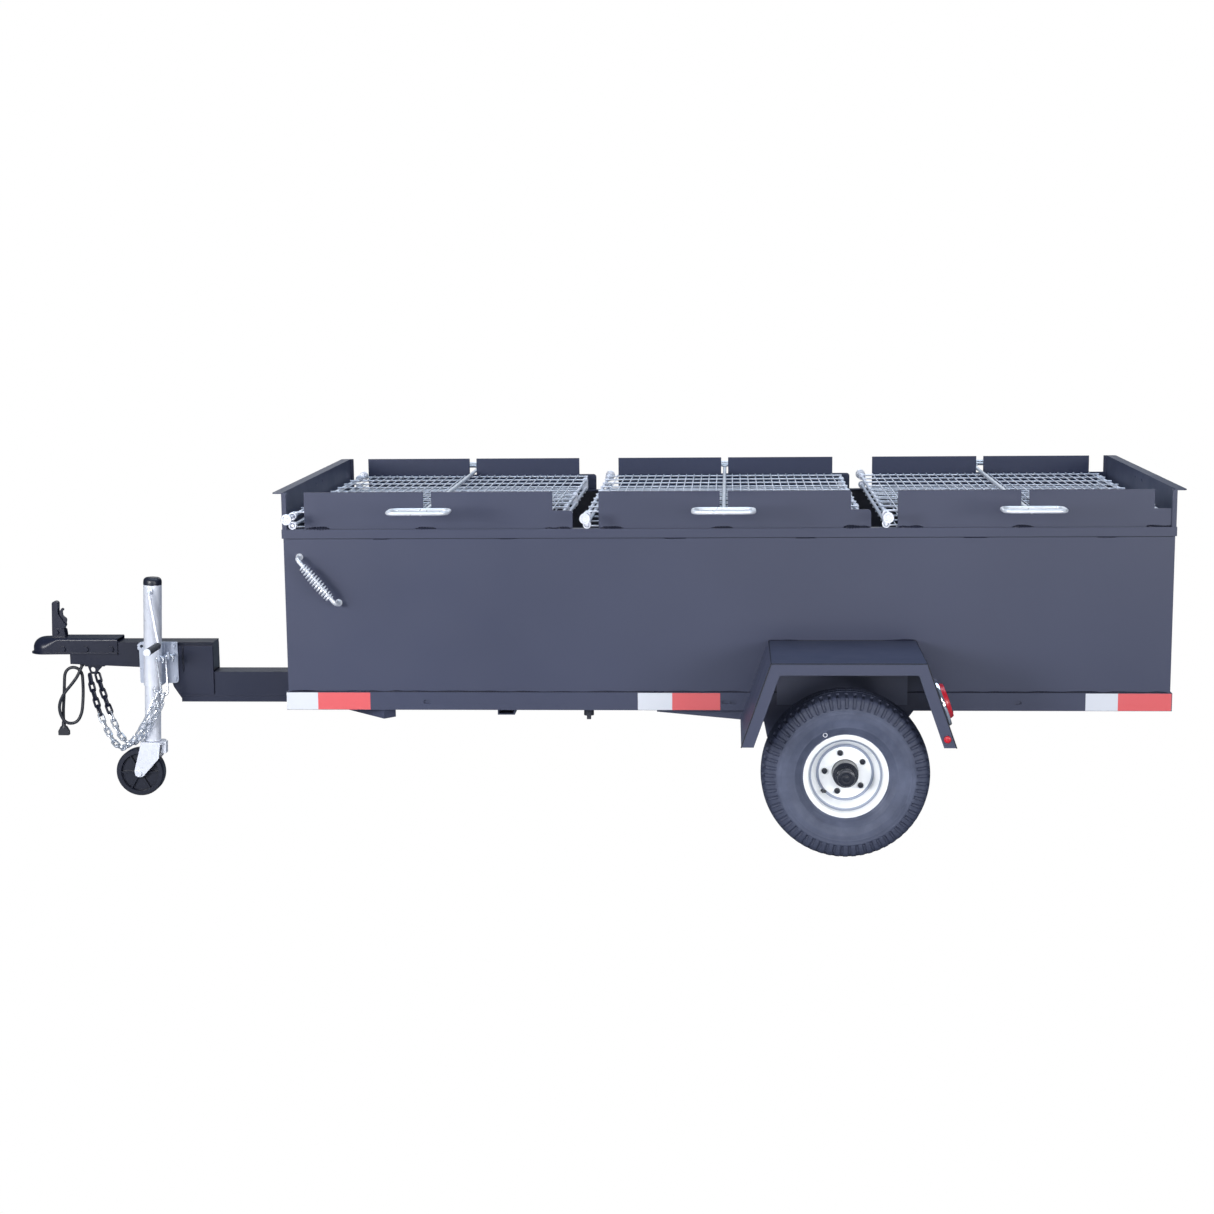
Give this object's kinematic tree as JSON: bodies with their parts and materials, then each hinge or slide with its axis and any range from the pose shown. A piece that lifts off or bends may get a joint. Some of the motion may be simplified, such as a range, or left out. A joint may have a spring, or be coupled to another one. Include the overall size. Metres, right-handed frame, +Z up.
{
  "type": "charcoal grill trailer",
  "caption": "Towable charcoal grill: a long open steel firebox on two road wheels with flip-over wire grill baskets, a tongue with coupler, a crank jack, and safety chains.",
  "frame": {"origin": "on the ground, at the centre of the trailer's outline", "axes": "+X towards the rear of the trailer with the hitch at -X, +Y to the side away from the jack, +Z up"},
  "size_m": [3.499, 1.836, 1.004],
  "materials": {
    "body_paint": "satin dark blue-grey paint",
    "tongue_black": "satin black paint",
    "galvanised": "zinc plated, soft shine",
    "stainless": "drawn stainless wire and bar",
    "raw_steel": "bare steel darkened by heat",
    "black_plastic": "moulded black plastic",
    "soft_rubber": "black rubber",
    "tyre_rubber": "black tyre rubber",
    "rim_silver": "silver enamel",
    "hub_paint": "black enamel",
    "plated_bolts": "plated bolt heads",
    "lamp_chrome": "chromed bezel",
    "red_lens": "red moulded lens",
    "tape_red": "red and white reflective film"
  },
  "bodies": {
    "trailer": {"frame_rails": "body_paint", "cross_members": "body_paint", "firebox_shell": "body_paint", "drain_plug": "raw_steel", "top_rim": "body_paint", "front_guards": "body_paint", "back_guards": "body_paint", "end_panel_left": "body_paint", "end_panel_right": "body_paint", "fire_grates": "raw_steel", "grab_handle": "stainless", "handle_coil": "stainless", "fender_left": "body_paint", "fender_right": "body_paint", "axle_beam": "body_paint", "axle_brackets": "body_paint", "fender_backings": "body_paint", "tail_light_housings": "lamp_chrome", "lamp_lenses": "red_lens", "tongue_head": "body_paint", "tongue_lower_beam": "body_paint", "tongue_side_plates": "body_paint", "frame_braces": "body_paint", "coupler_body": "tongue_black", "coupler_bolts": "tongue_black", "chain_bracket": "tongue_black", "safety_chains": "galvanised", "chain_hooks": "galvanised", "wiring_cable": "soft_rubber", "cable_grommet": "soft_rubber", "trailer_plug": "black_plastic", "jack_bracket": "galvanised", "jack_outer_tube": "galvanised", "jack_cap": "black_plastic", "reflective_tape": "tape_red"},
    "basket_1_lower": {"lower_grate_1": "stainless"},
    "basket_1_upper": {"upper_grate_1": "stainless", "spit_shaft_1": "stainless"},
    "basket_2_lower": {"lower_grate_2": "stainless"},
    "basket_2_upper": {"upper_grate_2": "stainless", "spit_shaft_2": "stainless"},
    "basket_3_lower": {"lower_grate_3": "stainless"},
    "basket_3_upper": {"upper_grate_3": "stainless", "spit_shaft_3": "stainless"},
    "wheel_left": {"tyre_left": "tyre_rubber", "wheel_rim_left": "rim_silver", "wheel_hub_left": "hub_paint", "lug_bolts_left": "plated_bolts"},
    "wheel_right": {"tyre_right": "tyre_rubber", "wheel_rim_right": "rim_silver", "wheel_hub_right": "hub_paint", "lug_bolts_right": "plated_bolts"},
    "latch_handle": {"latch_lever": "tongue_black"},
    "latch_finger": {"latch_trigger": "tongue_black"},
    "crank": {"jack_crank": "galvanised", "crank_grip": "black_plastic"},
    "jack_leg": {"jack_inner_tube": "galvanised"},
    "caster_swivel": {"caster_fork": "galvanised"},
    "caster_roller": {"caster_wheel": "black_plastic"}
  },
  "joints": [
    {"name": "basket_flip_1", "type": "hinge", "parent": "trailer", "child": "basket_1_lower", "pos_m": [-0.39117, 0, 0.9561], "axis": [0, 1, 0], "range_deg": [0, 181.9]},
    {"name": "basket_open_1", "type": "hinge", "parent": "basket_1_lower", "child": "basket_1_upper", "pos_m": [-0.00717, 0, 0.9368], "axis": [0, -1, 0], "range_deg": [-100, 0]},
    {"name": "basket_flip_2", "type": "hinge", "parent": "trailer", "child": "basket_2_lower", "pos_m": [0.4555, 0, 0.9561], "axis": [0, 1, 0], "range_deg": [0, 181.9]},
    {"name": "basket_open_2", "type": "hinge", "parent": "basket_2_lower", "child": "basket_2_upper", "pos_m": [0.8395, 0, 0.9368], "axis": [0, -1, 0], "range_deg": [-100, 0]},
    {"name": "basket_flip_3", "type": "hinge", "parent": "trailer", "child": "basket_3_lower", "pos_m": [1.30217, 0, 0.9561], "axis": [0, 1, 0], "range_deg": [0, 181.9]},
    {"name": "basket_open_3", "type": "hinge", "parent": "basket_3_lower", "child": "basket_3_upper", "pos_m": [1.68617, 0, 0.9368], "axis": [0, -1, 0], "range_deg": [-100, 0]},
    {"name": "wheel_spin_left", "type": "hinge", "parent": "trailer", "child": "wheel_left", "pos_m": [0.7925, -0.738, 0.235], "axis": [0, 1, 0], "continuous": true},
    {"name": "wheel_spin_right", "type": "hinge", "parent": "trailer", "child": "wheel_right", "pos_m": [0.7925, 0.738, 0.235], "axis": [0, 1, 0], "continuous": true},
    {"name": "latch_turn", "type": "hinge", "parent": "trailer", "child": "latch_handle", "pos_m": [-1.6635, 0, 0.507], "axis": [0, 1, 0], "range_deg": [0, 55]},
    {"name": "trigger_squeeze", "type": "hinge", "parent": "latch_handle", "child": "latch_finger", "pos_m": [-1.6565, 0, 0.534], "axis": [0, 1, 0], "range_deg": [-8, 0], "stiffness_Nm_per_rad": 0.05, "springref_deg": 17.19},
    {"name": "crank_turn", "type": "hinge", "parent": "trailer", "child": "crank", "pos_m": [-1.32547, -0.098, 0.65482], "axis": [0, 1, 0], "range_deg": [-5760, 0]},
    {"name": "jack_slide", "type": "slide", "parent": "trailer", "child": "jack_leg", "axis": [0.0401, 0, 0.9992], "range_m": [-0.0961, 0]},
    {"name": "caster_turn", "type": "hinge", "parent": "jack_leg", "child": "caster_swivel", "pos_m": [-1.34469, -0.098, 0.17621], "axis": [0.0401, 0, 0.9992], "continuous": true},
    {"name": "caster_roll", "type": "hinge", "parent": "caster_swivel", "child": "caster_roller", "pos_m": [-1.38672, -0.098, 0.076], "axis": [0, 1, 0], "continuous": true}
  ],
  "couplings": [
    {"joint": "jack_slide", "follows": "crank_turn", "m_per_rad": 0.00095493}
  ]
}
